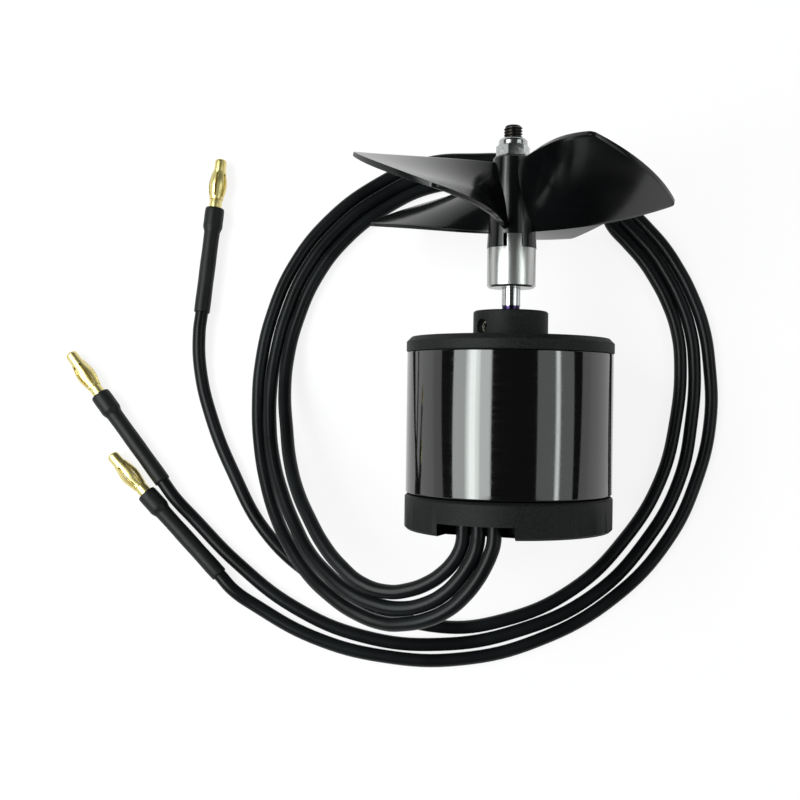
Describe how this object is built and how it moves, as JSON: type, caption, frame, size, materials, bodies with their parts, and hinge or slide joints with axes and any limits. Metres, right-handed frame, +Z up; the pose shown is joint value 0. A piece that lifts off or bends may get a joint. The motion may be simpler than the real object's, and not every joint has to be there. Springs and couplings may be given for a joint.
{
  "type": "underwater thruster",
  "caption": "Outrunner underwater thruster: black round motor with a bladed propeller on a drive dog, and phase leads ending in gold bullet plugs.",
  "frame": {"origin": "middle of the base's mounting face, on the shaft axis", "axes": "+Z up from the surface that the thruster lies on, +Y from the mounting face towards the propeller, along the surface, +X to the right of the picture"},
  "size_m": [0.1917, 0.1527, 0.0816],
  "materials": {
    "blasted_black": "sand-blasted black anodised aluminium",
    "lamination_steel": "varnished electrical steel",
    "copper_enamel": "enamelled copper wire",
    "bearing_steel": "ground bearing steel",
    "can_black": "polished black coated steel",
    "magnet_nickel": "nickel-plated magnet",
    "dark_steel": "black oxide steel",
    "shaft_steel": "ground stainless steel",
    "turned_aluminium": "bright turned aluminium",
    "propeller_nylon": "glossy moulded black nylon",
    "nut_zinc": "zinc-plated steel",
    "insert_nylon": "natural nylon",
    "lead_silicone": "black silicone insulation",
    "heat_shrink": "black shrink tubing",
    "plug_gold": "gold-plated brass"
  },
  "bodies": {
    "stator": {"base": "blasted_black", "stator_core": "lamination_steel", "windings": "copper_enamel", "lower_outer_race": "bearing_steel", "upper_outer_race": "bearing_steel", "phase_lead_a": "lead_silicone", "phase_lead_b": "lead_silicone", "phase_lead_c": "lead_silicone", "heat_shrink_a": "heat_shrink", "heat_shrink_b": "heat_shrink", "heat_shrink_c": "heat_shrink", "bullet_plug_a": "plug_gold", "bullet_plug_b": "plug_gold", "bullet_plug_c": "plug_gold"},
    "rotor": {"rotor_can": "can_black", "magnets": "magnet_nickel", "end_cap": "blasted_black", "cap_grub_screws": "dark_steel", "shaft": "shaft_steel", "lower_inner_race": "bearing_steel", "upper_inner_race": "bearing_steel", "bearing_spacer": "shaft_steel", "retaining_ring": "dark_steel", "drive_dog": "turned_aluminium", "dog_grub_screw": "dark_steel", "propeller": "propeller_nylon", "prop_stud": "dark_steel", "lock_nut": "nut_zinc", "nylon_insert": "insert_nylon"},
    "lower_balls": {"lower_ball_set": "bearing_steel"},
    "upper_balls": {"upper_ball_set": "bearing_steel"}
  },
  "joints": [
    {"name": "rotor_spin", "type": "hinge", "parent": "stator", "child": "rotor", "pos_m": [0, 0, 0], "axis": [0, 0.9899, 0.1419], "continuous": true},
    {"name": "lower_ball_roll", "type": "hinge", "parent": "stator", "child": "lower_balls", "pos_m": [0, 0, 0], "axis": [0, 0.9899, 0.1419], "continuous": true},
    {"name": "upper_ball_roll", "type": "hinge", "parent": "stator", "child": "upper_balls", "pos_m": [0, 0, 0], "axis": [0, 0.9899, 0.1419], "continuous": true}
  ],
  "couplings": [
    {"joint": "lower_ball_roll", "follows": "rotor_spin", "ratio": 0.3842},
    {"joint": "upper_ball_roll", "follows": "rotor_spin", "ratio": 0.3842}
  ]
}
